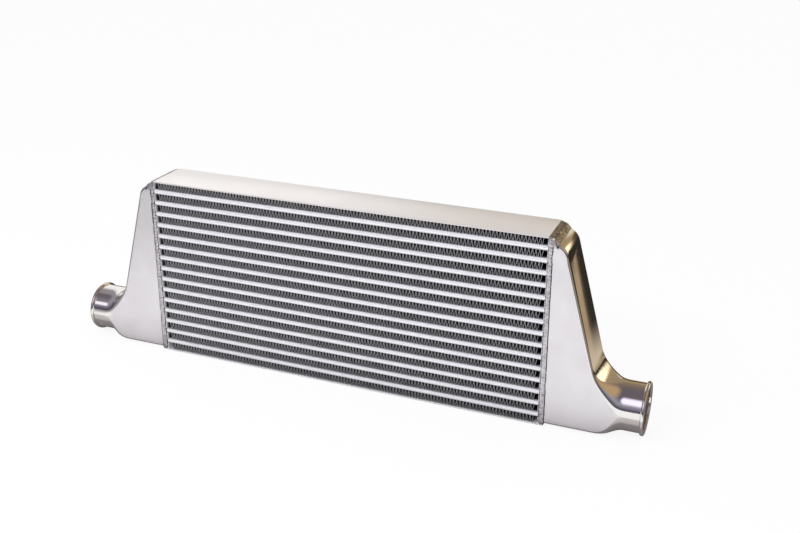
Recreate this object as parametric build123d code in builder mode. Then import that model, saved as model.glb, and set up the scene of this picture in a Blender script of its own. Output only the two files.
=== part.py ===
# Front-mount intercooler: a brazed bar-and-plate core between two cast end tanks.
# Frame: X along the core, Y from front to back, Z up. The origin is under the middle of
# the core, on the surface that the bottom side plate rests on. Millimetres and degrees.

from build123d import *
from math import cos, hypot, radians, sin, sqrt, tan
import os

# ---- core ----
core_length = 616.0          # between the two tank joints
core_depth = 70.0            # front face to back face
row_count = 16               # cooling-air rows, with a charge tube between each two
fin_height = 10.5            # clear height of a cooling-air row
bar_height = 6.0             # clear height of a charge passage
bar_width = 8.0              # long bars that close a charge passage, front and back
closing_bar_width = 8.0      # short bars that close a cooling-air row at each end
sheet_thickness = 0.6        # parting sheets, brazed above and below each passage
side_plate_thickness = 2.0
top_plate_setback = 7.5       # top plate's ends to the tank joints, filled with weld

# ---- fins and turbulators ----
fin_recess = 2.5             # fin edges stand back from the core's front and back
fin_end_gap = 6.0            # closing bar to first wave
fin_waves = 12
fin_sheet = 0.5
turbulator_waves = 2
turbulator_sheet = 0.4
turbulator_side_gap = 0.6
turbulator_end_gap = 4.0

# ---- end tanks ----
tank_wall = 3.0
tank_top_drop = 8.5          # roof of the tank below the core's top face
tank_bottom_rise = 3.5       # floor of the tank above the core's bottom face
tank_lean = 15.4             # outer wall from the vertical
shoulder_reach = 15.5        # joint to the corner where roof and outer wall would meet
shoulder_radius = 20.0
edge_radius = 4.0            # rounding along the edges of the flat faces
bend_radius = 38.0           # outer wall sweeping into the outlet
bend_stations = 8            # steps between the cross-sections of the sweep
upper_growth = 1.5           # how late the upper corners round out along the sweep
lower_growth = 3.2           # the same for the lower corners
pole_arc = 10.0              # part of the circle that each flat side narrows to

# ---- outlets ----
outlet_diameter = 70.0
outlet_wall = 3.5            # a little thicker than the tank's
outlet_length = 37.0         # round part, from the end of the sweep to the mouth
lip_diameter = 76.2
lip_width = 5.5
lip_chamfer = 1.6

# ---- welds ----
bead_width = 9.0             # over the tank joint, front and back
bead_height = 1.3
bead_overlap = 1.6           # how far the bead reaches onto the tank
roof_bead_leg = 6.5
floor_bead_leg = 2.0

# ---- worked out from the sizes above ----
tube_height = bar_height + 2 * sheet_thickness
pitch = fin_height + tube_height
core_height = 2 * side_plate_thickness + row_count * pitch - tube_height
fin_span = core_length - 2 * (closing_bar_width + fin_end_gap)
fin_depth = core_depth - 2 * fin_recess
passage_width = core_depth - 2 * bar_width
turbulator_span = passage_width - 2 * turbulator_side_gap
turbulator_length = core_length - 2 * turbulator_end_gap

joint_x = core_length / 2
roof_z = core_height - tank_top_drop
floor_z = tank_bottom_rise
outlet_radius = outlet_diameter / 2
outlet_z = floor_z + outlet_radius
lean = radians(tank_lean)
turn = radians(90) - lean
# the leaning wall, carried on, meets the outlet's top line at the knee
shoulder_x = joint_x + shoulder_reach
outlet_top_z = outlet_z + outlet_radius
edge_flat = edge_radius * (2 - sqrt(2))  # chamfer that touches the rounding halfway
knee_x = shoulder_x + (roof_z - outlet_top_z) * tan(lean)
bend_x = knee_x + bend_radius * tan(turn / 2)
bend_z = outlet_top_z + bend_radius
mouth_x = bend_x + outlet_length


def row_floor(row):
    """Height of the surface that a row's fin stands on, with rows counted from 0."""
    return side_plate_thickness + row * pitch


def folded_sheet(span, height, waves, sheet):
    """Outline of a sheet folded in a zigzag, with its crests at height and at 0."""
    leg = span / (2 * waves)
    drop = sheet * hypot(leg, height) / leg
    upper = [(leg * i - span / 2, height if i % 2 else drop) for i in range(2 * waves + 1)]
    lower = [(x, y - drop) for x, y in reversed(upper)]
    return upper + lower


def sweep_section(step):
    """One cross-section of the sweep: four straight sides, with the corners rounding out."""
    angle = turn * (1 - step / bend_stations)
    progress = 1 - sin(angle) / sin(turn)
    upper = edge_radius + (outlet_radius - edge_radius) * progress**upper_growth
    lower = edge_radius + (outlet_radius - edge_radius) * progress**lower_growth
    # the wall leans here, so a corner that is round square to the wall is an ellipse
    rise = upper / cos(angle)
    side_y = core_depth / 2
    top = bend_z - bend_radius * cos(angle)
    with BuildSketch(Plane.YZ.offset(bend_x - bend_radius * sin(angle))) as section:
        with BuildLine():
            Line((side_y - upper, top), (upper - side_y, top))
            EllipticalCenterArc((upper - side_y, top - rise), upper, rise, 90, arc_size=90)
            Line((-side_y, top - rise), (-side_y, floor_z + lower))
            CenterArc((lower - side_y, floor_z + lower), lower, 180, 90)
            Line((lower - side_y, floor_z), (side_y - lower, floor_z))
            CenterArc((side_y - lower, floor_z + lower), lower, 270, 90)
            Line((side_y, floor_z + lower), (side_y, top - rise))
            EllipticalCenterArc((side_y - upper, top - rise), upper, rise, 0, arc_size=90)
        make_face()
    return section.sketch


def outlet_section():
    """The round end of the sweep: four arcs of the outlet's circle, joined by short flats."""
    with BuildSketch(Plane.YZ.offset(bend_x)) as section:
        with BuildLine():
            arcs = [
                CenterArc((0, outlet_z), outlet_radius, pole + pole_arc / 2, 90 - pole_arc)
                for pole in (0, 90, 180, 270)
            ]
            for arc, following in zip(arcs, arcs[1:] + arcs[:1]):
                Line(arc @ 1, following @ 0)
        make_face()
    return section.sketch


def tank_wedge(inset, end):
    """Flat-sided part of a right-hand tank, from the joint to where its leaning wall ends."""
    half_width = core_depth / 2 - inset
    top, bottom = roof_z - inset, floor_z + inset
    corner_x = shoulder_x - inset * (1 - sin(lean)) / cos(lean)
    with BuildPart() as wedge:
        with BuildSketch(Plane.XZ.offset(-half_width)) as side:
            Polygon((joint_x, bottom), (end[0], bottom), end, (corner_x, top), (joint_x, top), align=None)
            fillet(side.vertices().sort_by_distance((corner_x, top))[0], shoulder_radius - inset)
        extrude(amount=2 * half_width)
    return wedge.part


# ---- core: side plates, with the closing bars of the lowest row on the bottom one ----
with BuildPart() as top_side_plate:
    with BuildSketch(Plane.XY.offset(core_height - side_plate_thickness)):
        Rectangle(core_length - 2 * top_plate_setback, core_depth)
    extrude(amount=side_plate_thickness)

with BuildPart() as bottom_side_plate:
    with BuildSketch(Plane.XY):
        Rectangle(core_length, core_depth)
    extrude(amount=side_plate_thickness)
    with BuildSketch(Plane.XY.offset(side_plate_thickness)):
        with GridLocations(core_length - closing_bar_width, 0, 2, 1):
            Rectangle(closing_bar_width, core_depth)
    extrude(amount=fin_height)

pieces = {"top_side_plate": top_side_plate, "bottom_side_plate": bottom_side_plate}

# ---- core: cooling-air fins, folded from one sheet each and open from front to back ----
for row in range(row_count):
    with BuildPart() as cooling_fin:
        with BuildSketch(Plane.XZ.offset(-fin_depth / 2)):
            with Locations((0, row_floor(row))):
                Polygon(*folded_sheet(fin_span, fin_height, fin_waves, fin_sheet), align=None)
        extrude(amount=fin_depth)
    pieces[f"cooling_fin_{row + 1:02d}"] = cooling_fin

# ---- core: charge tubes and the turbulators inside them ----
for row in range(row_count - 1):
    tube_z = row_floor(row) + fin_height
    # two parting sheets and two long bars, with the closing bars of the row above, brazed
    with BuildPart() as charge_tube:
        with BuildSketch(Plane.YZ.offset(-core_length / 2)):
            with Locations((0, tube_z + tube_height / 2)):
                Rectangle(core_depth, tube_height)
                Rectangle(passage_width, bar_height, mode=Mode.SUBTRACT)
        extrude(amount=core_length)
        with BuildSketch(Plane.XY.offset(tube_z + tube_height)):
            with GridLocations(core_length - closing_bar_width, 0, 2, 1):
                Rectangle(closing_bar_width, core_depth)
        extrude(amount=fin_height)
    pieces[f"charge_tube_{row + 1:02d}"] = charge_tube

    with BuildPart() as turbulator:
        with BuildSketch(Plane.YZ.offset(-turbulator_length / 2)):
            with Locations((0, tube_z + sheet_thickness)):
                Polygon(
                    *folded_sheet(turbulator_span, bar_height, turbulator_waves, turbulator_sheet),
                    align=None,
                )
        extrude(amount=turbulator_length)
    pieces[f"turbulator_{row + 1:02d}"] = turbulator

# ---- end tanks: one casting each, open towards the core, with the outlet and its lip ----
with BuildPart() as right_tank:
    bend_start = (bend_x - bend_radius * sin(turn), bend_z - bend_radius * cos(turn))
    add(tank_wedge(0, bend_start))
    rims = right_tank.edges().filter_by(Axis.Y, reverse=True).filter_by(Axis.Z, reverse=True)
    chamfer(rims, edge_flat)
    loft([sweep_section(step) for step in range(bend_stations)] + [outlet_section()], ruled=True)
    with BuildSketch(Plane.YZ.offset(bend_x)):
        with Locations((0, outlet_z)):
            Circle(outlet_radius)
    extrude(amount=outlet_length)
    with BuildSketch(Plane.YZ.offset(mouth_x - lip_width)):
        with Locations((0, outlet_z)):
            Circle(lip_diameter / 2)
    extrude(amount=lip_width)
    mouth_edges = right_tank.edges().filter_by(GeomType.CIRCLE).group_by(Axis.X)[-1]
    chamfer(mouth_edges, lip_chamfer)
    # hollow: the leaning wall runs straight on inside, past the bend, to the outlet's bore
    hollow_end = (knee_x - tank_wall * (1 - sin(lean)) / cos(lean), outlet_top_z - tank_wall)
    add(tank_wedge(tank_wall, hollow_end), mode=Mode.SUBTRACT)
    with BuildSketch(Plane.YZ.offset(mouth_x)):
        with Locations((0, outlet_z)):
            Circle(outlet_radius - outlet_wall)
    extrude(amount=hollow_end[0] - mouth_x, mode=Mode.SUBTRACT)

with BuildPart() as left_tank:
    mirror(right_tank.part, about=Plane.YZ)

# ---- welds that join the tanks to the core, one continuous bead round each joint ----
with BuildPart() as right_tank_weld:
    bead_end_x = joint_x + bead_overlap
    bead_start_x = bead_end_x - bead_width
    with BuildSketch(Plane.XY.offset(floor_z - floor_bead_leg)):
        for face_y, bulge in ((-core_depth / 2, -bead_height), (core_depth / 2, bead_height)):
            with BuildLine():
                Line((bead_start_x, face_y), (bead_end_x, face_y))
                ThreePointArc(
                    (bead_start_x, face_y),
                    (bead_end_x - bead_width / 2, face_y + bulge),
                    (bead_end_x, face_y),
                )
            make_face()
    extrude(amount=core_height - side_plate_thickness - floor_z + floor_bead_leg)
    with BuildSketch(Plane.XZ.offset(-core_depth / 2)):
        # over the roof, up to the end of the top plate, and under the floor
        plate_end_x = joint_x - top_plate_setback
        Polygon(
            (plate_end_x, core_height - side_plate_thickness), (plate_end_x, core_height),
            (joint_x + roof_bead_leg, roof_z), (joint_x, roof_z),
            (joint_x, core_height - side_plate_thickness),
            align=None,
        )
        Polygon(
            (joint_x, floor_z), (joint_x + floor_bead_leg, floor_z), (joint_x, floor_z - floor_bead_leg),
            align=None,
        )
    extrude(amount=core_depth)

with BuildPart() as left_tank_weld:
    mirror(right_tank_weld.part, about=Plane.YZ)

pieces |= {
    "right_tank": right_tank,
    "left_tank": left_tank,
    "right_tank_weld": right_tank_weld,
    "left_tank_weld": left_tank_weld,
}

os.makedirs("parts", exist_ok=True)
for name, piece in pieces.items():
    piece.part.label = name
    export_step(piece.part, f"parts/{name}.step")

print("core height", core_height, "overall length", 2 * mouth_x, "outlet axis height", outlet_z)
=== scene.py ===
import math

import bmesh
import bpy
from mathutils import Matrix, Vector, noise


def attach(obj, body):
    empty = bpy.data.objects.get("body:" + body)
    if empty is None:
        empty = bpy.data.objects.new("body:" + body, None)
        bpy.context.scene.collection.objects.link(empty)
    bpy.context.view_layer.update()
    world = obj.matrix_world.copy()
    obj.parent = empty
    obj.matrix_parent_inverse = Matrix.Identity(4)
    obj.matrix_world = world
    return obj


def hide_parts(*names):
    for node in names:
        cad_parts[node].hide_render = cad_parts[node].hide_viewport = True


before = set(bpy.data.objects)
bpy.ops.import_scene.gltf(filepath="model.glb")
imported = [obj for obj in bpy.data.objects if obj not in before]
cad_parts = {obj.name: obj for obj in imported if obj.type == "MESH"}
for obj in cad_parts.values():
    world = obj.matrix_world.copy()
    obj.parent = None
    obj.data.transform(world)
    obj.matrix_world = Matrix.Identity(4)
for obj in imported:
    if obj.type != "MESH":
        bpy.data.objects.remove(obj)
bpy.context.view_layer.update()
print("frame loaded:", len(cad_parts), "nodes")


# small helpers

def newPiece(bm, name, coats, nodes, smoothAngle=30):
    bmesh.ops.recalc_face_normals(bm, faces=bm.faces)
    mesh = bpy.data.meshes.new(name)
    bm.to_mesh(mesh)
    bm.free()
    for coat in coats:
        mesh.materials.append(coat)
    piece = bpy.data.objects.new(name, mesh)
    bpy.context.scene.collection.objects.link(piece)
    mesh.shade_smooth()
    mesh.set_sharp_from_angle(angle=math.radians(smoothAngle))
    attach(piece, "root")
    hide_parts(*nodes)


def addBlock(bm, low, high, bevelWidth, segments=2, chosen=None):
    low, high = Vector(low), Vector(high)
    place = Matrix.LocRotScale((low + high) / 2, None, high - low)
    cube = bmesh.ops.create_cube(bm, size=1, matrix=place)
    edges = {e for v in cube["verts"] for e in v.link_edges}
    if chosen:
        edges = {e for e in edges if chosen(e)}
    bmesh.ops.bevel(bm, geom=list(edges), offset=bevelWidth, segments=segments,
                    affect="EDGES", profile=0.5, material=-1)


def ringOf(bm, points):
    ring = bmesh.ops.create_circle(bm, segments=len(points), radius=1, cap_ends=False)["verts"]
    for vert, point in zip(ring, points):
        vert.co = point
    return ring


def bridgeRings(bm, first, second):
    edges = []
    for ring in (first, second):
        members = set(ring)
        edges += [e for v in ring for e in v.link_edges if e.other_vert(v) in members]
    bmesh.ops.bridge_loops(bm, edges=list(dict.fromkeys(edges)))


# shader helpers

mixSockets = {"RGBA": (6, 7, 2), "FLOAT": (2, 3, 0), "VECTOR": (4, 5, 1)}  # first, second, result


def addNode(tree, kind, inputs=None, link=None, **settings):
    node = tree.nodes.new(kind)
    for key, value in settings.items():
        setattr(node, key, value)
    for key, value in (inputs or {}).items():
        node.inputs[key].default_value = value
    for key, socket in (link or {}).items():
        tree.links.new(socket, node.inputs[key])
    return node


def softStep(tree, value, low, high):
    # a mask that goes from 0 to 1 as the value goes from low to high
    step = addNode(tree, "ShaderNodeMapRange", interpolation_type="SMOOTHSTEP",
                   inputs={"From Min": low, "From Max": high}, link={"Value": value})
    return step.outputs[0]


def blend(tree, mask, first, second, kind="RGBA"):
    # first where the mask is 0, second where it is 1
    low, high, result = mixSockets[kind]
    mix = addNode(tree, "ShaderNodeMix", data_type=kind, link={0: mask})
    for place, value in ((low, first), (high, second)):
        if isinstance(value, tuple):
            mix.inputs[place].default_value = (*value, 1)
        elif isinstance(value, float):
            mix.inputs[place].default_value = value
        else:
            tree.links.new(value, mix.inputs[place])
    return mix.outputs[result]


def sizeAlong(tree, vector, axis):
    axes = addNode(tree, "ShaderNodeSeparateXYZ", link={0: vector})
    return addNode(tree, "ShaderNodeMath", operation="ABSOLUTE", link={0: axes.outputs[axis]}).outputs[0]


# shader groups used by every finish

def groupOf(name, inputs, outputs):
    group = bpy.data.node_groups.new(name, "ShaderNodeTree")
    for label, kind, value in inputs:
        group.interface.new_socket(name=label, in_out="INPUT", socket_type=kind).default_value = value
    for label, kind in outputs:
        group.interface.new_socket(name=label, in_out="OUTPUT", socket_type=kind)
    return group, group.nodes.new("NodeGroupInput"), group.nodes.new("NodeGroupOutput")


# fine rolling or brushing streaks along one direction, as a mask from 0 to 1
streaks, groupIn, groupOut = groupOf(
    "fineStreaks",
    [("Stretch", "NodeSocketVector", (1, 1, 1)), ("Scale", "NodeSocketFloat", 900.0)],
    [("Mask", "NodeSocketFloat")],
)
place = addNode(streaks, "ShaderNodeTexCoord")
stretched = addNode(streaks, "ShaderNodeVectorMath", operation="MULTIPLY",
                    link={0: place.outputs["Object"], 1: groupIn.outputs["Stretch"]})
grain = addNode(streaks, "ShaderNodeTexNoise", inputs={"Detail": 3.0, "Roughness": 0.6},
                link={"Vector": stretched.outputs[0], "Scale": groupIn.outputs["Scale"]})
spread = addNode(streaks, "ShaderNodeMapRange", inputs={"From Min": 0.3, "From Max": 0.7},
                 link={"Value": grain.outputs["Fac"]})
streaks.links.new(spread.outputs[0], groupOut.inputs["Mask"])

# broad cloudy marks from handling, as a mask from 0 to 1
smudges, groupIn, groupOut = groupOf(
    "handlingSmudges", [("Scale", "NodeSocketFloat", 18.0)], [("Mask", "NodeSocketFloat")])
place = addNode(smudges, "ShaderNodeTexCoord")
cloud = addNode(smudges, "ShaderNodeTexNoise",
                inputs={"Detail": 5.0, "Roughness": 0.55, "Distortion": 0.6},
                link={"Vector": place.outputs["Object"], "Scale": groupIn.outputs["Scale"]})
spread = addNode(smudges, "ShaderNodeMapRange", inputs={"From Min": 0.35, "From Max": 0.7},
                 link={"Value": cloud.outputs["Fac"]})
smudges.links.new(spread.outputs[0], groupOut.inputs["Mask"])

plainRelief = 0.0002  # depth of the grain where a look names none


def metalParts(tree, look):
    # colour, metallic, roughness and normal of one finish
    fine = addNode(tree, "ShaderNodeGroup", node_tree=streaks,
                   inputs={"Stretch": look["stretch"], "Scale": look["grainScale"]})
    marks = addNode(tree, "ShaderNodeGroup", node_tree=smudges, inputs={"Scale": look["smudgeScale"]})
    colour = blend(tree, marks.outputs["Mask"], look["colour"], look["smudgeColour"])
    if "depthShadingColour" in look:
        # another tone away from the front and back edges: painted shade deep inside the bars and fins, and
        # on the top plate painted shade that keeps the front and back faces darker than the top
        reach = sizeAlong(tree, addNode(tree, "ShaderNodeTexCoord").outputs["Object"], "Y")
        colour = blend(tree, softStep(tree, reach, look["edgeAt"], look["innerAt"]), colour,
                       look["depthShadingColour"])
    gloss = addNode(tree, "ShaderNodeMath", operation="MULTIPLY_ADD",
                    inputs={1: look["roughSpread"], 2: look["roughness"]},
                    link={0: marks.outputs["Mask"]})
    bump = addNode(tree, "ShaderNodeBump",
                   inputs={"Strength": look["bump"], "Distance": look.get("relief", plainRelief)},
                   link={"Height": fine.outputs["Mask"]})
    return {"Base Color": colour, "Metallic": look["metallic"], "Roughness": gloss.outputs[0],
            "Normal": bump.outputs[0]}


def metalFinish(name, look):
    material = bpy.data.materials.new(name)
    material.use_nodes = True
    tree = material.node_tree
    shader = tree.nodes["Principled BSDF"]
    for key, value in metalParts(tree, look).items():
        if isinstance(value, float):
            shader.inputs[key].default_value = value
        else:
            tree.links.new(value, shader.inputs[key])
    return material


looks = {
    # painted shade: the bars and end bars turn dark a few millimetres in from the front and back, where
    # shade falls in the core
    "barMetal": dict(
        colour=(0.96, 0.96, 0.98), smudgeColour=(0.91, 0.91, 0.94), metallic=0.5, roughness=0.30,
        roughSpread=0.08, stretch=(0.05, 1, 1), grainScale=900, smudgeScale=40, bump=0.15,
        depthShadingColour=(0.10, 0.10, 0.11), edgeAt=0.0325, innerAt=0.0290),
    # painted shade: the top plate's front and back faces keep the darker colour, and its top takes the
    # lighter tone
    "plateMetal": dict(
        colour=(0.74, 0.71, 0.70), smudgeColour=(0.70, 0.67, 0.66), metallic=0.45, roughness=0.36,
        roughSpread=0.10, stretch=(0.04, 1, 1), grainScale=900, smudgeScale=14, bump=0.12,
        depthShadingColour=(0.95, 0.92, 0.90), edgeAt=0.0350, innerAt=0.0347),
    "footMetal": dict(
        colour=(0.96, 0.96, 0.98), smudgeColour=(0.91, 0.91, 0.94), metallic=0.5, roughness=0.32,
        roughSpread=0.08, stretch=(0.04, 1, 1), grainScale=900, smudgeScale=14, bump=0.12),
    # painted shade: the fins turn almost black a little way in from the front and back, deep in the
    # channels
    "finMetal": dict(
        colour=(0.59, 0.58, 0.61), smudgeColour=(0.51, 0.50, 0.53), metallic=0.6, roughness=0.42,
        roughSpread=0.08, stretch=(1, 0.1, 1), grainScale=1200, smudgeScale=60, bump=0.1,
        depthShadingColour=(0.04, 0.04, 0.045), edgeAt=0.0325, innerAt=0.0312),
    "weldMetal": dict(
        colour=(0.72, 0.70, 0.73), smudgeColour=(0.36, 0.32, 0.34), metallic=0.85, roughness=0.22,
        roughSpread=0.12, stretch=(1, 1, 1), grainScale=260, smudgeScale=190, bump=0.9, relief=0.0005),
    "roofWeldMetal": dict(
        colour=(0.50, 0.44, 0.36), smudgeColour=(0.17, 0.14, 0.12), metallic=0.9, roughness=0.22,
        roughSpread=0.12, stretch=(1, 1, 1), grainScale=220, smudgeScale=110, bump=0.9, relief=0.0005),
    # painted shade for the borders of the weld strips, in the crease by the tank face and along the outer
    # side
    "creaseShadeMetal": dict(
        colour=(0.09, 0.08, 0.09), smudgeColour=(0.05, 0.045, 0.05), metallic=0.8, roughness=0.5,
        roughSpread=0.1, stretch=(1, 1, 1), grainScale=300, smudgeScale=150, bump=0.3),
    # a darker, warm brown tone for the inside of the tank and its bore
    "innerBrownMetal": dict(
        colour=(0.46, 0.39, 0.29), smudgeColour=(0.36, 0.30, 0.22), metallic=0.9, roughness=0.38,
        roughSpread=0.1, stretch=(1, 1, 1), grainScale=500, smudgeScale=60, bump=0.4),
}
finish = {name: metalFinish(name, look) for name, look in looks.items()}

tankLook = {
    "satin": dict(
        colour=(0.82, 0.80, 0.82), smudgeColour=(0.76, 0.73, 0.75), metallic=0.7, roughness=0.36,
        roughSpread=0.06, stretch=(1, 1, 0.06), grainScale=1000, smudgeScale=16, bump=0.12),
    "polished": dict(
        colour=(0.90, 0.88, 0.86), smudgeColour=(0.86, 0.83, 0.80), metallic=1.0, roughness=0.055,
        roughSpread=0.05, stretch=(0.05, 1, 0.05), grainScale=150, smudgeScale=22, bump=0.22),
    "facing": (0.975, 0.997),  # how squarely a face looks forward, from polish to satin
    "reach": (0.4105, 0.4000),  # distance from the middle of the core, from polish to satin
}


def tankFinish(name, look):
    # the flat front and back faces are satin, and run out softly into the polished rest
    material = bpy.data.materials.new(name)
    material.use_nodes = True
    tree = material.node_tree
    shader = tree.nodes["Principled BSDF"]
    where = addNode(tree, "ShaderNodeTexCoord")
    facing = softStep(tree, sizeAlong(tree, where.outputs["Normal"], "Y"), *look["facing"])
    reach = softStep(tree, sizeAlong(tree, where.outputs["Object"], "X"), *look["reach"])
    mask = addNode(tree, "ShaderNodeMath", operation="MULTIPLY", link={0: facing, 1: reach}).outputs[0]
    polished, satin = metalParts(tree, look["polished"]), metalParts(tree, look["satin"])
    for key, kind in (("Base Color", "RGBA"), ("Metallic", "FLOAT"), ("Roughness", "FLOAT"),
                      ("Normal", "VECTOR")):
        tree.links.new(blend(tree, mask, polished[key], satin[key], kind), shader.inputs[key])
    return material


finish["tankMetal"] = tankFinish("tankMetal", tankLook)
print("finishes made:", len(finish))

# core

core = {
    "length": 0.616, "depth": 0.070, "rows": 16, "finHeight": 0.0105, "tubeHeight": 0.0072,
    "sheet": 0.0006, "barWidth": 0.008, "endBar": 0.008, "plate": 0.002, "topPlateSetback": 0.0075,
    "upperInset": 0.0002, "lowerInset": 0.0022,
    "noseRadius": 0.0027, "noseSteps": 4, "sheetEdge": 0.00015, "endEdge": 0.0006,
    "topEdge": 0.00025, "bottomEdge": 0.0005,
}
halfLength, halfDepth = core["length"] / 2, core["depth"] / 2
pitch = core["finHeight"] + core["tubeHeight"]
coreHeight = 2 * core["plate"] + core["rows"] * pitch - core["tubeHeight"]
touching = 1e-6  # two places nearer than this are one


def rowFloor(row):
    return core["plate"] + row * pitch


def runsAlong(edge):
    return abs(edge.verts[0].co.x - edge.verts[1].co.x) > halfLength


def addEndBars(bm, low):
    # the bars that close a cooling-air row at its two ends
    for side in (-1, 1):
        endLow, endHigh = sorted((side * halfLength, side * (halfLength - core["endBar"])))
        addBlock(bm, (endLow, -halfDepth, low), (endHigh, halfDepth, low + core["finHeight"]),
                 core["endEdge"])


def makeTube(row):
    # two sheets with a bar between them at the front and back, and the end bars of the row above
    bm = bmesh.new()
    low = rowFloor(row) + core["finHeight"]
    high = low + core["tubeHeight"]
    sheet = core["sheet"]
    for z, inset in ((low, core["lowerInset"]), (high - sheet, core["upperInset"])):
        addBlock(bm, (-halfLength, -halfDepth + inset, z), (halfLength, halfDepth - inset, z + sheet),
                 core["sheetEdge"], segments=1, chosen=runsAlong)
    for side in (-1, 1):
        outer, inner = side * halfDepth, side * (halfDepth - core["barWidth"])
        addBlock(bm, (-halfLength, min(outer, inner), low + sheet),
                 (halfLength, max(outer, inner), high - sheet), core["noseRadius"],
                 segments=core["noseSteps"],
                 chosen=lambda e: runsAlong(e) and all(abs(v.co.y - outer) < touching for v in e.verts))
    addEndBars(bm, high)
    node = f"charge_tube_{row + 1:02d}"
    newPiece(bm, f"chargeTube{row + 1:02d}", [finish["barMetal"]], [node])


for row in range(core["rows"] - 1):
    makeTube(row)
print("charge tubes made")


def makeTopPlate():
    bm = bmesh.new()
    end = halfLength - core["topPlateSetback"]
    addBlock(bm, (-end, -halfDepth, coreHeight - core["plate"]), (end, halfDepth, coreHeight),
             core["topEdge"])
    newPiece(bm, "topSidePlate", [finish["plateMetal"]], ["top_side_plate"])


def makeBottomPlate():
    bm = bmesh.new()
    addBlock(bm, (-halfLength, -halfDepth, 0), (halfLength, halfDepth, core["plate"]),
             core["bottomEdge"], segments=3)
    addEndBars(bm, core["plate"])
    newPiece(bm, "bottomSidePlate", [finish["footMetal"]], ["bottom_side_plate"])


makeTopPlate()
makeBottomPlate()
print("side plates made")

# cooling-air fins: folded sheet in strips from front to back, each set over by half a wave

fin = {"span": 0.588, "waves": 120, "strips": 4, "recess": 0.0012, "sheet": 0.00035, "crest": 0.0006,
       "shift": 0.5}
wave = fin["span"] / fin["waves"]
flat = fin["crest"] / wave
nudge = 1e-7  # keeps a place on a fold's corner from falling just short of it


def foldHeight(along):
    # height of the folded sheet, from 0 to 1: straight legs between short flat crests
    phase = (along / wave) % 1.0
    leg = 0.5 - flat
    if phase < flat:
        return 1.0
    if phase < flat + leg:
        return 1.0 - (phase - flat) / leg
    if phase < 2 * flat + leg:
        return 0.0
    return (phase - 2 * flat - leg) / leg


def makeFin(row):
    bm = bmesh.new()
    stops = [0, flat, 0.5, 0.5 + flat]
    count = fin["waves"] * len(stops)
    stripDepth = (core["depth"] - 2 * fin["recess"]) / fin["strips"]
    low, travel = rowFloor(row) + fin["sheet"] / 2, core["finHeight"] - fin["sheet"]
    for strip in range(fin["strips"]):
        front = -halfDepth + fin["recess"] + strip * stripDepth
        shift = fin["shift"] * wave * (strip % 2)
        grid = bmesh.ops.create_grid(bm, x_segments=count, y_segments=1, size=0.5)["verts"]
        for vert in grid:
            step = round((vert.co.x + 0.5) * count)
            along = (step // len(stops) + stops[step % len(stops)]) * wave
            x = min(along - fin["span"] / 2 + shift, fin["span"] / 2)
            y = front + (vert.co.y + 0.5) * stripDepth
            vert.co = (x, y, low + foldHeight(along + nudge) * travel)
    bmesh.ops.recalc_face_normals(bm, faces=bm.faces)
    bmesh.ops.solidify(bm, geom=bm.faces[:], thickness=fin["sheet"])
    node = f"cooling_fin_{row + 1:02d}"
    newPiece(bm, f"coolingFin{row + 1:02d}", [finish["finMetal"]], [node])


for row in range(core["rows"]):
    makeFin(row)
print("cooling-air fins made")

# end tanks: one ring of points after another, from the joint to the mouth and back inside

tank = {
    "wall": 0.003, "topDrop": 0.0085, "bottomRise": 0.0035, "lean": 15.4, "shoulderReach": 0.0155,
    "shoulderRadius": 0.020, "edgeRadius": 0.004, "innerCorner": 0.001, "bendRadius": 0.038,
    "upperGrowth": 1.5, "lowerGrowth": 3.2, "ease": 0.22, "crown": 0.0010, "crownRun": 0.008,
    "outletRadius": 0.035, "outletLength": 0.037, "lipRadius": 0.0381, "lipWidth": 0.0055,
    "lipFoot": 0.002, "lipFullness": 0.7,
    "mouthEdge": ((0.0003, 0.0012), (0.0012, 0.0026)),  # depth in the mouth, and how much narrower there
    "boreStart": 0.003, "boreMiddle": 0.4, "tubeRings": (0.4, 0.65, 0.85, 1.0),
    "shoulderSteps": 12, "wallSteps": 12, "bendSteps": 24, "easeSteps": 4, "lipSteps": 8,
    "cornerSteps": 7, "sideSteps": 8, "sideMargin": 0.02,
}
jointX = halfLength
roofZ, floorZ = coreHeight - tank["topDrop"], tank["bottomRise"]
outletZ = floorZ + tank["outletRadius"]
lean = math.radians(tank["lean"])
turn = math.pi / 2 - lean
shoulderX = jointX + tank["shoulderReach"]
kneeX = shoulderX + (roofZ - outletZ - tank["outletRadius"]) * math.tan(lean)
bendX = kneeX + tank["bendRadius"] * math.tan(turn / 2)
bendZ = outletZ + tank["outletRadius"] + tank["bendRadius"]
mouthX = bendX + tank["outletLength"]
leastCosine, leastCrownCosine = 0.05, 0.27  # limits to how far a steep wall stretches corners and crown
leastSide, roofShare = 0.001, 0.99  # a point above this share of an upright side lies on the roof


def sectionPoints(x, top, slope, upper, lower, inset, crown=0.0):
    # one upright section of the tank: four sides and four rounded corners, the top side slightly crowned
    half = halfDepth - inset
    bottom = floorZ + inset
    rise = upper / max(math.cos(slope), leastCosine)
    steps = tank["cornerSteps"]
    corners = [
        (half - upper, top - rise, upper, rise, 0),
        (upper - half, top - rise, upper, rise, 90),
        (lower - half, bottom + lower, lower, lower, 180),
        (half - lower, bottom + lower, lower, lower, 270),
    ]
    arcs = []
    for y, z, ry, rz, start in corners:
        angles = [math.radians(start + 90 * i / steps) for i in range(steps + 1)]
        arcs.append([(x, y + ry * math.cos(angle), z + rz * math.sin(angle)) for angle in angles])
    points = []
    margin, sides = tank["sideMargin"], tank["sideSteps"]
    for arc, after in zip(arcs, arcs[1:] + arcs[:1]):
        points += arc
        a, b = Vector(arc[-1]), Vector(after[0])
        points += [a.lerp(b, margin + (1 - 2 * margin) * i / sides) for i in range(sides + 1)]
    side = max(top - rise - bottom - lower, leastSide)
    raised = []
    for point in map(Vector, points):
        onRoof = (point.z - bottom - lower) / side > roofShare
        lift = crown / max(math.cos(slope), leastCrownCosine) * (1 - (point.y / half) ** 2) * onRoof
        raised.append(point + Vector((0, 0, lift)))
    return raised


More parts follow.
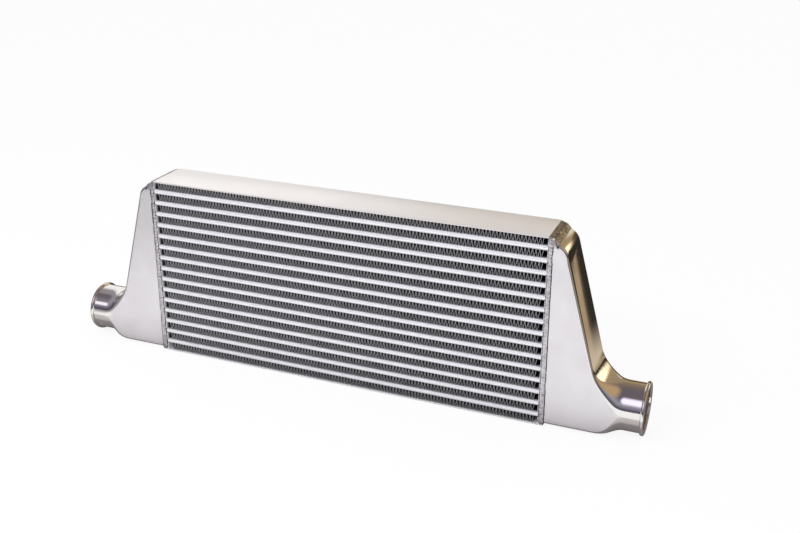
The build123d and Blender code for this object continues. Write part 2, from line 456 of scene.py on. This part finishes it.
def easedGrowth(progress, power):
    # how far the corners have opened into the round tube: a power of the way round the bend, whose last
    # part is a smooth curve that runs out level just past the bend
    start, span = 1 - tank["ease"], 2 * tank["ease"]
    if progress <= start:
        return progress ** power
    t = (progress - start) / span
    value, slope = start ** power, power * start ** (power - 1) * span
    return value * (1 + 2 * t) * (1 - t) ** 2 + slope * t * (1 - t) ** 2 + t * t * (3 - 2 * t)


def tankSections(inset, corner):
    # x, height and slope of the wall along the tank, with the upper and lower corner radii there
    shoulder = tank["shoulderRadius"] - inset
    bend = tank["bendRadius"] + inset
    top = roofZ - inset
    cornerX = shoulderX - inset * (1 - math.sin(lean)) / math.cos(lean)
    arcStart = cornerX - shoulder * math.tan(turn / 2)
    rows = [(x, top, 0.0, corner, corner) for x in (jointX, (jointX + arcStart) / 2)]
    for i in range(tank["shoulderSteps"] + 1):
        a = turn * i / tank["shoulderSteps"]
        rows.append((arcStart + shoulder * math.sin(a), top - shoulder * (1 - math.cos(a)), a,
                     corner, corner))
    endX, endTop = rows[-1][:2]
    startX, startTop = bendX - bend * math.sin(turn), bendZ - bend * math.cos(turn)
    for i in range(1, tank["wallSteps"]):
        t = i / tank["wallSteps"]
        rows.append((endX + (startX - endX) * t, endTop + (startTop - endTop) * t, turn, corner, corner))
    growth = tank["outletRadius"] - inset - corner

    def opened(progress):
        powers = (tank["upperGrowth"], tank["lowerGrowth"])
        return [corner + growth * easedGrowth(progress, power) for power in powers]

    for i in range(tank["bendSteps"] + 1):
        a = turn * (1 - i / tank["bendSteps"])
        progress = 1 - math.sin(a) / math.sin(turn)
        rows.append((bendX - bend * math.sin(a), bendZ - bend * math.cos(a), a, *opened(progress)))
    for i in range(1, tank["easeSteps"] + 1):
        past = tank["ease"] * i / tank["easeSteps"]
        rows.append((bendX + bend * math.sin(turn) * past, bendZ - bend, 0.0, *opened(1 + past)))
    return rows


def outletRing(x, radius):
    return sectionPoints(x, outletZ + radius, 0.0, radius, radius, halfDepth - radius)


def makeTank(side):
    bm = bmesh.new()
    rings = []
    for x, top, slope, upper, lower in tankSections(0, tank["edgeRadius"]):
        square = 1 - (upper - tank["edgeRadius"]) / (tank["outletRadius"] - tank["edgeRadius"])
        crown = tank["crown"] * square * min(1.0, (x - jointX) / tank["crownRun"])
        rings.append(sectionPoints(x, top, slope, upper, lower, 0, crown))
    tube, lipX = tank["outletRadius"], mouthX - tank["lipWidth"]
    tubeLength = lipX - tank["lipFoot"] - bendX
    rings += [outletRing(bendX + tubeLength * t, tube) for t in tank["tubeRings"]]
    # lip: a rolled bead that swells out of the tube and turns in at the mouth
    for i in range(tank["lipSteps"] + 1):
        a = math.pi * i / tank["lipSteps"]
        swell = (tank["lipRadius"] - tube) * math.sin(a) ** tank["lipFullness"]
        rings.append(outletRing(lipX + tank["lipWidth"] * (1 - math.cos(a)) / 2, tube + swell))
    rings += [outletRing(mouthX - depth, tube - narrower) for depth, narrower in tank["mouthEdge"]]
    bore = tube - tank["wall"]
    inside = [outletRing(mouthX - tank["boreStart"], bore),
              outletRing(bendX + tank["outletLength"] * tank["boreMiddle"], bore)]
    inside += [sectionPoints(*section, tank["wall"])
               for section in reversed(tankSections(tank["wall"], tank["innerCorner"]))]
    rings += inside
    made = [ringOf(bm, ring) for ring in rings]
    for first, second in zip(made, made[1:] + made[:1]):
        bridgeRings(bm, first, second)
    innerVerts = {vert for ring in made[-len(inside):] for vert in ring}
    for face in bm.faces:
        face.material_index = int(all(vert in innerVerts for vert in face.verts))
    bmesh.ops.scale(bm, vec=(side, 1, 1), verts=bm.verts)
    word = "right" if side > 0 else "left"
    coats = [finish["tankMetal"], finish["innerBrownMetal"]]
    newPiece(bm, f"{word}Tank", coats, [f"{word}_tank"], smoothAngle=40)


for side in (1, -1):
    makeTank(side)
print("end tanks made")

# welds: a rippled bead round each joint

bead = {
    "topWidth": 0.0066, "footWidth": 0.0094, "height": 0.0015, "innerX": 0.3006, "sink": 0.0001,
    "topLap": 0.0005, "footGap": 0.0008, "ripple": 0.0050, "stepsPerRipple": 7, "sides": 16, "seed": 3,
    "widthChange": 0.10, "widthScale": 70, "widthSeed": (5, 2.0), "meanSwell": 0.85, "fade": 0.6,
    "endShare": 0.35, "taperSteps": 6,
    # painted shade: the toe band by the tank face and the outer band are dark, the outer band wider on the
    # left tank
    "toe": 0.00062, "toeShadeWidth": {1: 0.0008, -1: 0.0017},  # on the right and the left tank
}
roofWeld = {
    "leg": 0.0065, "lap": 0.0002, "overhang": 0.0012, "edgeRadius": 0.0035, "puddles": 6, "seed": 9,
    "count": 150, "steps": 16, "rise": 0.0008, "swell": 0.0008, "lump": 0.0012,
    "lumpScale": (3.1, 160), "lumpSeed": 4.2, "outward": 0.6, "upward": 0.8, "droop": (0.0025, 0.004),
    "footX": 0.0012, "plateGap": 0.0003, "footDrop": 0.0008, "edgeDrop": 0.003, "margin": 0.004,
}
floorBead = {"leg": 0.002, "offset": 0.3, "width": 1.3, "height": 0.4, "count": 110, "ripple": 0.0045,
             "seed": 15}
puddle = {"base": 0.70, "swell": 0.22, "sharpness": 0.7, "wander": 0.45, "wanderScale": 90,
          "lump": 0.14, "lumpScale": 260, "lumpSeed": 3}
stripTop = roofZ - 0.002


def beadRing(bm, centre, across, out, width, height):
    points = []
    for k in range(bead["sides"]):
        a = 2 * math.pi * k / bead["sides"]
        points.append(centre + across * (width / 2 * math.cos(a)) + out * (height * math.sin(a)))
    return ringOf(bm, points)


def closeRings(bm, rings):
    for first, second in zip(rings, rings[1:]):
        bridgeRings(bm, first, second)
    for ring in (rings[0], rings[-1]):
        bmesh.ops.contextual_create(bm, geom=ring)


def rippleHeight(along, length, seed):
    # height of a stacked bead: one rounded puddle after another, with narrow valleys between
    wander = puddle["wander"] * noise.noise(Vector((along * puddle["wanderScale"], seed, 0)))
    phase = (along / length + wander) % 1.0
    swell = puddle["swell"] * math.sin(math.pi * phase) ** puddle["sharpness"]
    lumps = noise.noise(Vector((along * puddle["lumpScale"], seed, puddle["lumpSeed"])))
    return puddle["base"] + swell + puddle["lump"] * lumps


def stripWidth(share):
    return bead["topWidth"] + (bead["footWidth"] - bead["topWidth"]) * share


def makeFaceBead(bm, face):
    # front or back strip, from the roof down, wider towards the floor
    top, bottom = roofZ + bead["topLap"], floorZ - floorBead["leg"] + bead["footGap"]
    count = round((top - bottom) / bead["ripple"] * bead["stepsPerRipple"])
    seedY, seedZ = bead["widthSeed"]
    rings = []
    for i in range(count + 1):
        t = i / count
        z = top + (bottom - top) * t
        change = noise.noise(Vector((z * bead["widthScale"], face * seedY, seedZ)))
        width = stripWidth(t) * (1 + bead["widthChange"] * change)
        ripple = rippleHeight(t * (top - bottom), bead["ripple"], face * bead["seed"])
        swell = bead["meanSwell"] + (ripple - bead["meanSwell"]) * (1 - bead["fade"] * t)
        taper = min(1.0, bead["endShare"] + min(i, count - i) / bead["taperSteps"])
        centre = Vector((bead["innerX"] + width / 2, face * (halfDepth - bead["sink"]), z))
        rings.append(beadRing(bm, centre, Vector((1, 0, 0)), Vector((0, face, 0)), width * taper,
                              bead["height"] * swell * taper))
    closeRings(bm, rings)


def makeRoofWeld(bm):
    # lumpy fill from the end of the top plate down to the tank's roof, in overlapping puddles across,
    # rounded over the front and back edges of the joint
    plateEnd = halfLength - core["topPlateSetback"]
    start = Vector((plateEnd, 0, coreHeight - roofWeld["lap"]))
    end = Vector((jointX + roofWeld["leg"], 0, roofZ + roofWeld["lap"]))
    reach = halfDepth + roofWeld["overhang"]
    radius, steps = roofWeld["edgeRadius"], roofWeld["steps"]
    scaleX, scaleY = roofWeld["lumpScale"]
    endDroop, moreDroop = roofWeld["droop"]
    rings = []
    for i in range(roofWeld["count"] + 1):
        t = i / roofWeld["count"]
        y = (2 * t - 1) * reach
        edge = max(0.0, (abs(y) - (reach - radius)) / radius)
        droop = 1 - math.sqrt(max(0.0, 1 - edge ** 2))
        ripple = rippleHeight(t * 2 * reach, 2 * reach / roofWeld["puddles"], roofWeld["seed"])
        points = []
        for k in range(steps + 1):
            u = k / steps
            path = start.lerp(end, u)
            lumps = noise.noise(Vector((u * scaleX, y * scaleY, roofWeld["lumpSeed"])))
            height = roofWeld["rise"] + roofWeld["swell"] * ripple + roofWeld["lump"] * lumps
            rise = math.sin(math.pi * u) * height
            z = path.z + rise * roofWeld["upward"] - droop * (endDroop + moreDroop * u)
            points.append(Vector((path.x + rise * roofWeld["outward"], y, z)))
        low = roofZ - roofWeld["footDrop"] - roofWeld["edgeDrop"] * edge
        foot = (jointX + roofWeld["footX"], plateEnd + roofWeld["plateGap"])
        points += [Vector((x, y, low)) for x in foot]
        rings.append(ringOf(bm, points))
    closeRings(bm, rings)


def makeFloorBead(bm):
    leg, count = floorBead["leg"], floorBead["count"]
    slant = Vector((1, 0, 1)).normalized()
    offset = leg * floorBead["offset"]
    rings = []
    for i in range(count + 1):
        centre = Vector((jointX + offset, (2 * i / count - 1) * halfDepth, floorZ - offset))
        swell = rippleHeight(i / count * core["depth"], floorBead["ripple"], floorBead["seed"])
        rings.append(beadRing(bm, centre, slant, Vector((slant.x, 0, -slant.z)),
                              leg * floorBead["width"], leg * floorBead["height"] * swell))
    closeRings(bm, rings)


def makeWeld(side):
    bm = bmesh.new()
    makeRoofWeld(bm)
    for face in (-1, 1):
        makeFaceBead(bm, face)
    makeFloorBead(bm)
    for face in bm.faces:
        centre = face.calc_center_median()
        margin = roofWeld["margin"]
        if abs(centre.y) < halfDepth - margin and centre.z > roofZ - margin:
            face.material_index = 2  # the fill over the roof
        # painted shade on the borders of the front and back strips, by the tank face and along the outer
        # side
        elif abs(centre.y) > halfDepth and centre.z < stripTop:
            outer = bead["innerX"] + stripWidth(1 - centre.z / roofZ)
            if abs(centre.y) < halfDepth + bead["toe"] or centre.x > outer - bead["toeShadeWidth"][side]:
                face.material_index = 1  # the dark borders of the front and back strips
    bmesh.ops.scale(bm, vec=(side, 1, 1), verts=bm.verts)
    word = "right" if side > 0 else "left"
    coats = [finish["weldMetal"], finish["creaseShadeMetal"], finish["roofWeldMetal"]]
    newPiece(bm, f"{word}TankWeld", coats, [f"{word}_tank_weld"], smoothAngle=50)


for side in (1, -1):
    makeWeld(side)
print("welds made")

# the turbulators keep their shape inside the charge tubes, and take the fin finish with its painted shade
for name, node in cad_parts.items():
    if name.startswith("turbulator"):
        node.data.materials.clear()
        node.data.materials.append(finish["finMetal"])

# floor, light and camera

white = (1.0, 1.0, 1.0)
studio = {"floorSize": 6, "floorColour": (0.94, 0.94, 0.94), "floorGlow": 0.9, "worldLight": 0.80}

# what polished metal mirrors of the floor: its tones, a painted shadow of the object among them, and the
# stretches where one passes into the next, along X, along Y or across a slanting line
mirrorFloor = {
    "slope": 3.2, "foot": 0.428,
    "gold": (0.42, 0.31, 0.19), "dark": (0.03, 0.026, 0.020), "goldToDark": (-0.05, 0.08),
    "beige": (0.62, 0.51, 0.38), "beigeToGold": (0.26, 0.48),
    "left": (0.14, 0.12, 0.15), "behindToLeft": (-0.1, -0.4), "behindToRight": (0.76, 0.86),
    # painted shadow of the object on the floor, seen only in reflections, darkest right beside it
    "shade": (0.30, 0.26, 0.26), "shadeToWhite": (-0.03, -0.14),
    "contactShadow": (0.10, 0.08, 0.085), "contactToShade": (-0.042, -0.055),
    "side": (0.12, 0.09, 0.06), "frontToSide": (0.56, 0.66),
    "farLeft": (0.13, 0.115, 0.13), "frontToFarLeft": (-0.50, -0.76),
    "frontToBehind": (0.10, 0.26), "glowFrom": (0.06, 0.26), "leastGlow": 0.8,
}

# what it mirrors of the room: tones from the floor up in front and behind, and soft patches by direction,
# turn in degrees from +Y towards +X and rise above the floor
mirrorRoom = {
    "front": [(0.0, (0.07, 0.065, 0.09)), (0.14, (0.12, 0.11, 0.15)), (0.4, (0.34, 0.33, 0.40)),
              (0.8, (0.14, 0.12, 0.14)), (1.0, (0.14, 0.12, 0.14))],
    "back": [(0.0, (0.05, 0.035, 0.02)), (0.1, (0.13, 0.09, 0.045)), (0.24, (0.42, 0.30, 0.16)),
             (0.45, (0.36, 0.27, 0.17)), (0.8, (0.21, 0.16, 0.12)), (1.0, (0.14, 0.12, 0.14))],
    "left": (0.30, 0.28, 0.31), "leftToBack": (-0.42, -0.22), "frontToBack": (-0.12, 0.12),
    "patches": [
        dict(turn=-42, rise=20, inner=10, outer=30, colour=(0.98, 0.96, 0.94)),
        dict(turn=6, rise=17, inner=3, outer=8, colour=(0.74, 0.69, 0.56)),
        dict(turn=18, rise=8, inner=2, outer=6, colour=(0.08, 0.06, 0.035)),
        dict(turn=36, rise=12, inner=6, outer=15, colour=(1.8, 1.55, 1.02)),
        dict(turn=88, rise=42, inner=8, outer=44, colour=(0.50, 0.34, 0.18)),
        dict(turn=-171, rise=43, inner=0, outer=20, colour=(1.16, 1.10, 1.40)),
        dict(turn=-142, rise=27, inner=0, outer=10, colour=(1.1, 1.06, 1.15)),
    ],
}


def rampOf(tree, stops, height):
    ramp = addNode(tree, "ShaderNodeValToRGB", link={"Fac": height})
    line = ramp.color_ramp
    while len(line.elements) < len(stops):
        line.elements.new(0.5)
    for element, (position, colour) in zip(line.elements, stops):
        element.position = position
        element.color = (*colour, 1)
    return ramp.outputs["Color"]


def mirroredFloor(tree, x, y):
    tones = mirrorFloor
    slanted = addNode(tree, "ShaderNodeMath", operation="MULTIPLY_ADD",
                      inputs={1: -tones["slope"], 2: tones["slope"] * tones["foot"]}, link={0: x})
    beyond = addNode(tree, "ShaderNodeMath", operation="ADD", link={0: slanted.outputs[0], 1: y})
    deep = blend(tree, softStep(tree, beyond.outputs[0], *tones["goldToDark"]), tones["gold"],
                 tones["dark"])
    behind = blend(tree, softStep(tree, y, *tones["beigeToGold"]), tones["beige"], deep)
    behind = blend(tree, softStep(tree, x, *tones["behindToLeft"]), behind, tones["left"])
    behind = blend(tree, softStep(tree, x, *tones["behindToRight"]), behind, tones["dark"])
    # painted shadow in front of the object, darkest right beside it
    front = blend(tree, softStep(tree, y, *tones["shadeToWhite"]), tones["shade"], white)
    front = blend(tree, softStep(tree, y, *tones["contactToShade"]), tones["contactShadow"], front)
    front = blend(tree, softStep(tree, x, *tones["frontToSide"]), front, tones["side"])
    front = blend(tree, softStep(tree, x, *tones["frontToFarLeft"]), front, tones["farLeft"])
    return blend(tree, softStep(tree, y, *tones["frontToBehind"]), front, behind)


def makeFloor():
    # white paper to the camera, and the mirrored tones to polished metal
    bm = bmesh.new()
    bmesh.ops.create_grid(bm, x_segments=1, y_segments=1, size=studio["floorSize"])
    mesh = bpy.data.meshes.new("studioFloor")
    bm.to_mesh(mesh)
    bm.free()
    material = bpy.data.materials.new("floorPaper")
    material.use_nodes = True
    tree = material.node_tree
    tree.nodes.clear()
    where = addNode(tree, "ShaderNodeTexCoord")
    axes = addNode(tree, "ShaderNodeSeparateXYZ", link={0: where.outputs["Object"]})
    x, y = axes.outputs["X"], axes.outputs["Y"]
    path = addNode(tree, "ShaderNodeLightPath")
    tone = blend(tree, path.outputs["Is Glossy Ray"], white, mirroredFloor(tree, x, y))
    paper = addNode(tree, "ShaderNodeBsdfDiffuse", inputs={"Color": (*studio["floorColour"], 1)})
    glow = addNode(tree, "ShaderNodeEmission", inputs={"Strength": 1.0}, link={"Color": tone})
    seen = addNode(tree, "ShaderNodeMath", operation="MULTIPLY", inputs={1: studio["floorGlow"]},
                   link={0: path.outputs["Is Camera Ray"]})
    low, high = mirrorFloor["glowFrom"]
    strength = addNode(tree, "ShaderNodeMapRange", link={"Value": y},
                       inputs={"From Min": low, "From Max": high, "To Min": mirrorFloor["leastGlow"]})
    mirrored = addNode(tree, "ShaderNodeMath", operation="MULTIPLY",
                       link={0: strength.outputs[0], 1: path.outputs["Is Glossy Ray"]})
    share = addNode(tree, "ShaderNodeMath", operation="MAXIMUM",
                    link={0: seen.outputs[0], 1: mirrored.outputs[0]})
    both = addNode(tree, "ShaderNodeMixShader",
                   link={0: share.outputs[0], 1: paper.outputs[0], 2: glow.outputs[0]})
    out = addNode(tree, "ShaderNodeOutputMaterial")
    tree.links.new(both.outputs[0], out.inputs["Surface"])
    mesh.materials.append(material)
    floor = bpy.data.objects.new("studioFloor", mesh)
    bpy.context.scene.collection.objects.link(floor)


def mirroredRoom(tree, ray):
    axes = addNode(tree, "ShaderNodeSeparateXYZ", link={0: ray})
    x, y, z = axes.outputs["X"], axes.outputs["Y"], axes.outputs["Z"]
    back = blend(tree, softStep(tree, x, *mirrorRoom["leftToBack"]), mirrorRoom["left"],
                 rampOf(tree, mirrorRoom["back"], z))
    room = blend(tree, softStep(tree, y, *mirrorRoom["frontToBack"]), rampOf(tree, mirrorRoom["front"], z),
                 back)
    for patch in mirrorRoom["patches"]:
        turned, rise = math.radians(patch["turn"]), math.radians(patch["rise"])
        towards = (math.sin(turned) * math.cos(rise), math.cos(turned) * math.cos(rise), math.sin(rise))
        facing = addNode(tree, "ShaderNodeVectorMath", operation="DOT_PRODUCT", inputs={1: towards},
                         link={0: ray})
        edges = [math.cos(math.radians(patch[edge])) for edge in ("outer", "inner")]
        room = blend(tree, softStep(tree, facing.outputs["Value"], *edges), room, patch["colour"])
    return room


def makeWorld():
    # white to the camera, the room to polished metal and plain light to all else
    world = bpy.data.worlds.new("studioWorld")
    world.use_nodes = True
    bpy.context.scene.world = world
    tree = world.node_tree
    tree.nodes.clear()
    room = mirroredRoom(tree, addNode(tree, "ShaderNodeTexCoord").outputs["Generated"])
    path = addNode(tree, "ShaderNodeLightPath")
    plain = addNode(tree, "ShaderNodeBackground", inputs={"Color": (*white, 1), "Strength": 1.0})
    light = addNode(tree, "ShaderNodeBackground",
                    inputs={"Color": (*white, 1), "Strength": studio["worldLight"]})
    mirrored = addNode(tree, "ShaderNodeBackground", inputs={"Strength": 1.0}, link={"Color": room})
    lit = addNode(tree, "ShaderNodeMixShader",
                  link={0: path.outputs["Is Glossy Ray"], 1: light.outputs[0], 2: mirrored.outputs[0]})
    both = addNode(tree, "ShaderNodeMixShader",
                   link={0: path.outputs["Is Camera Ray"], 1: lit.outputs[0], 2: plain.outputs[0]})
    out = addNode(tree, "ShaderNodeOutputWorld")
    tree.links.new(both.outputs[0], out.inputs["Surface"])


makeFloor()
makeWorld()

lamps = {
    "keySoftbox": dict(place=(-0.2, -1.25, 1.25), target=(0.1, 0, 0.1), size=(0.7, 0.16), power=9.0,
                       colour=(0.97, 0.96, 1.0)),
    "sideSoftbox": dict(place=(-1.3, -1.0, 1.5), target=(0, 0, 0.12), size=(1.0, 0.8), power=7.0,
                        colour=white),
}


def makeLamp(name, place, target, size, power, colour):
    lamp = bpy.data.lights.new(name, "AREA")
    lamp.shape = "RECTANGLE"
    lamp.size, lamp.size_y = size
    lamp.energy = power
    lamp.color = colour
    holder = bpy.data.objects.new(name, lamp)
    holder.location = place
    holder.rotation_euler = (Vector(target) - Vector(place)).to_track_quat("-Z", "Y").to_euler()
    holder.visible_glossy = False
    bpy.context.scene.collection.objects.link(holder)


for name, lamp in lamps.items():
    makeLamp(name, **lamp)

view = {
    "lens": 46.97, "sensor": 36, "place": (0.58775, -1.26979, 0.76491),
    "right": (0.92811, 0.37230, 0.00339), "up": (-0.14714, 0.35842, 0.92188),
    "back": (0.3420, -0.8561, 0.3874),
}


def makeCamera():
    camera = bpy.data.cameras.new("studioCamera")
    camera.lens = view["lens"]
    camera.sensor_width = view["sensor"]
    holder = bpy.data.objects.new("studioCamera", camera)
    axes = Matrix((view["right"], view["up"], view["back"])).transposed()
    holder.matrix_world = Matrix.Translation(view["place"]) @ axes.to_4x4()
    bpy.context.scene.collection.objects.link(holder)
    bpy.context.scene.camera = holder


makeCamera()
bpy.context.scene.view_settings.view_transform = "Standard"
print("studio made")
